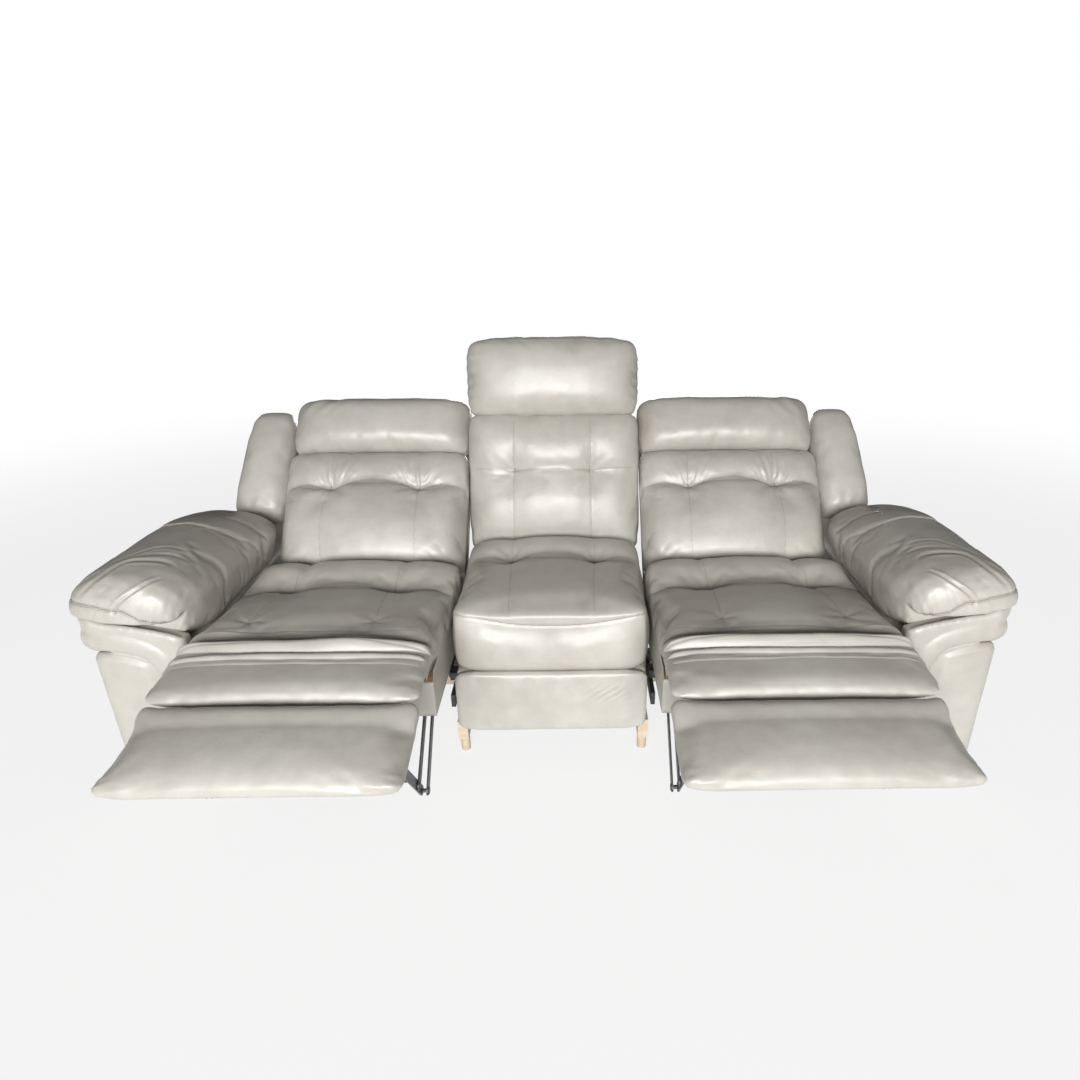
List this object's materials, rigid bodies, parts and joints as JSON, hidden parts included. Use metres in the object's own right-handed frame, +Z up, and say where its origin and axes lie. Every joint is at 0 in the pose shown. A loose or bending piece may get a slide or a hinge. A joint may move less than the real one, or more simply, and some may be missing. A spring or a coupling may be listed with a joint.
{
  "type": "reclining sofa",
  "caption": "Padded leather sofa with a fixed middle place between reclining places whose footrests fold out on linkages.",
  "frame": {"origin": "on the floor under the middle of the box around the sofa, both recliners fully open", "axes": "+Z up, the front faces -Y, +X to the right of someone facing the sofa"},
  "size_m": [2.302, 1.4166, 1.0381],
  "materials": {
    "leather": "semi-gloss",
    "timber": "raw",
    "steel": "satin",
    "plastic": "matte"
  },
  "bodies": {
    "base": {"base_frame": "timber", "left_arm_body": "leather", "left_arm_front_panel": "leather", "left_arm_pillow": "leather", "left_front_foot": "plastic", "left_rear_foot": "plastic", "left_track": "steel", "middle_back_cover": "leather", "middle_back_frame": "timber", "middle_deck": "timber", "middle_front_panel": "leather", "middle_head_cushion": "leather", "middle_lumbar_cushion": "leather", "middle_seat_cushion": "leather", "right_arm_body": "leather", "right_arm_front_panel": "leather", "right_arm_pillow": "leather", "right_front_foot": "plastic", "right_rear_foot": "plastic", "right_track": "steel"},
    "left_carriage": {"left_carriage": "steel"},
    "left_seat": {"left_deck": "timber", "left_seat_cushion": "leather"},
    "left_back": {"left_back_frame": "timber", "left_lumbar_cushion": "leather", "left_head_cushion": "leather", "left_back_cover": "leather", "left_wing_cushion": "leather", "left_back_bracket_inner": "steel", "left_back_bracket_outer": "steel"},
    "left_flap": {"left_flap_pad": "leather"},
    "left_drive_links": {"left_drive_link_inner": "steel", "left_drive_link_outer": "steel"},
    "left_lift_links": {"left_lift_link": "steel"},
    "left_footrest": {"left_footrest_bracket": "steel", "left_footrest_board": "timber", "left_footrest_pad": "leather"},
    "left_support_links": {"left_support_link_inner": "steel", "left_support_link_outer": "steel"},
    "left_lever": {"left_release_lever": "plastic"},
    "right_carriage": {"right_carriage": "steel"},
    "right_seat": {"right_deck": "timber", "right_seat_cushion": "leather"},
    "right_back": {"right_back_frame": "timber", "right_lumbar_cushion": "leather", "right_head_cushion": "leather", "right_back_cover": "leather", "right_wing_cushion": "leather", "right_back_bracket_inner": "steel", "right_back_bracket_outer": "steel"},
    "right_flap": {"right_flap_pad": "leather"},
    "right_drive_links": {"right_drive_link_inner": "steel", "right_drive_link_outer": "steel"},
    "right_lift_links": {"right_lift_link": "steel"},
    "right_footrest": {"right_footrest_bracket": "steel", "right_footrest_board": "timber", "right_footrest_pad": "leather"},
    "right_support_links": {"right_support_link_inner": "steel", "right_support_link_outer": "steel"},
    "right_lever": {"right_release_lever": "plastic"}
  },
  "joints": [
    {"name": "left_recline_slide", "type": "slide", "parent": "base", "child": "left_carriage", "axis": [0, 1, 0], "range_m": [0, 0.19]},
    {"name": "left_seat_tilt", "type": "hinge", "parent": "left_carriage", "child": "left_seat", "pos_m": [-0.569, -0.23142, 0.33], "axis": [1, 0, 0], "range_deg": [0, 4.01]},
    {"name": "left_back_recline", "type": "hinge", "parent": "left_seat", "child": "left_back", "pos_m": [-0.569, 0.19789, 0.30499], "axis": [1, 0, 0], "range_deg": [0, 22.01]},
    {"name": "left_footrest_fold", "type": "hinge", "parent": "left_carriage", "child": "left_drive_links", "pos_m": [-0.569, -0.28642, 0.282], "axis": [1, 0, 0], "range_deg": [0, 115.17]},
    {"name": "left_lift_pivot", "type": "hinge", "parent": "left_drive_links", "child": "left_lift_links", "pos_m": [-0.569, -0.44051, 0.14679], "axis": [1, 0, 0], "range_deg": [-59.93, 0]},
    {"name": "left_footrest_pivot", "type": "hinge", "parent": "left_lift_links", "child": "left_footrest", "pos_m": [-0.569, -0.56226, 0.31172], "axis": [1, 0, 0], "range_deg": [0, 22.75]},
    {"name": "left_support_pivot", "type": "hinge", "parent": "left_carriage", "child": "left_support_links", "pos_m": [-0.569, -0.2533, 0.25886], "axis": [1, 0, 0], "range_deg": [0, 118.89]},
    {"name": "left_flap_pivot", "type": "hinge", "parent": "left_seat", "child": "left_flap", "pos_m": [-0.569, -0.33681, 0.4326], "axis": [1, 0, 0], "range_deg": [0, 78.01]},
    {"name": "left_lever_pivot", "type": "hinge", "parent": "base", "child": "left_lever", "pos_m": [-1.097, 0.14858, 0.307], "axis": [0, -1, 0], "range_deg": [0, 35], "stiffness_Nm_per_rad": 0.6},
    {"name": "right_recline_slide", "type": "slide", "parent": "base", "child": "right_carriage", "axis": [0, 1, 0], "range_m": [0, 0.19]},
    {"name": "right_seat_tilt", "type": "hinge", "parent": "right_carriage", "child": "right_seat", "pos_m": [0.569, -0.23142, 0.33], "axis": [1, 0, 0], "range_deg": [0, 4.01]},
    {"name": "right_back_recline", "type": "hinge", "parent": "right_seat", "child": "right_back", "pos_m": [0.569, 0.19789, 0.30499], "axis": [1, 0, 0], "range_deg": [0, 22.01]},
    {"name": "right_footrest_fold", "type": "hinge", "parent": "right_carriage", "child": "right_drive_links", "pos_m": [0.569, -0.28642, 0.282], "axis": [1, 0, 0], "range_deg": [0, 115.17]},
    {"name": "right_lift_pivot", "type": "hinge", "parent": "right_drive_links", "child": "right_lift_links", "pos_m": [0.569, -0.44051, 0.14679], "axis": [1, 0, 0], "range_deg": [-59.93, 0]},
    {"name": "right_footrest_pivot", "type": "hinge", "parent": "right_lift_links", "child": "right_footrest", "pos_m": [0.569, -0.56226, 0.31172], "axis": [1, 0, 0], "range_deg": [0, 22.75]},
    {"name": "right_support_pivot", "type": "hinge", "parent": "right_carriage", "child": "right_support_links", "pos_m": [0.569, -0.2533, 0.25886], "axis": [1, 0, 0], "range_deg": [0, 118.89]},
    {"name": "right_flap_pivot", "type": "hinge", "parent": "right_seat", "child": "right_flap", "pos_m": [0.569, -0.33681, 0.4326], "axis": [1, 0, 0], "range_deg": [0, 78.01]},
    {"name": "right_lever_pivot", "type": "hinge", "parent": "base", "child": "right_lever", "pos_m": [1.097, 0.14858, 0.307], "axis": [0, 1, 0], "range_deg": [0, 35], "stiffness_Nm_per_rad": 0.6}
  ],
  "couplings": [
    {"joint": "left_seat_tilt", "follows": "left_recline_slide", "rad_per_m": 0.36744},
    {"joint": "left_back_recline", "follows": "left_recline_slide", "rad_per_m": 2.0209},
    {"joint": "left_lift_pivot", "follows": "left_footrest_fold", "ratio": -0.52023},
    {"joint": "left_footrest_pivot", "follows": "left_footrest_fold", "ratio": 0.19747},
    {"joint": "left_support_pivot", "follows": "left_footrest_fold", "ratio": 1.0322},
    {"joint": "left_flap_pivot", "follows": "left_footrest_fold", "ratio": 0.67724},
    {"joint": "right_seat_tilt", "follows": "right_recline_slide", "rad_per_m": 0.36744},
    {"joint": "right_back_recline", "follows": "right_recline_slide", "rad_per_m": 2.0209},
    {"joint": "right_lift_pivot", "follows": "right_footrest_fold", "ratio": -0.52023},
    {"joint": "right_footrest_pivot", "follows": "right_footrest_fold", "ratio": 0.19747},
    {"joint": "right_support_pivot", "follows": "right_footrest_fold", "ratio": 1.0322},
    {"joint": "right_flap_pivot", "follows": "right_footrest_fold", "ratio": 0.67724}
  ]
}
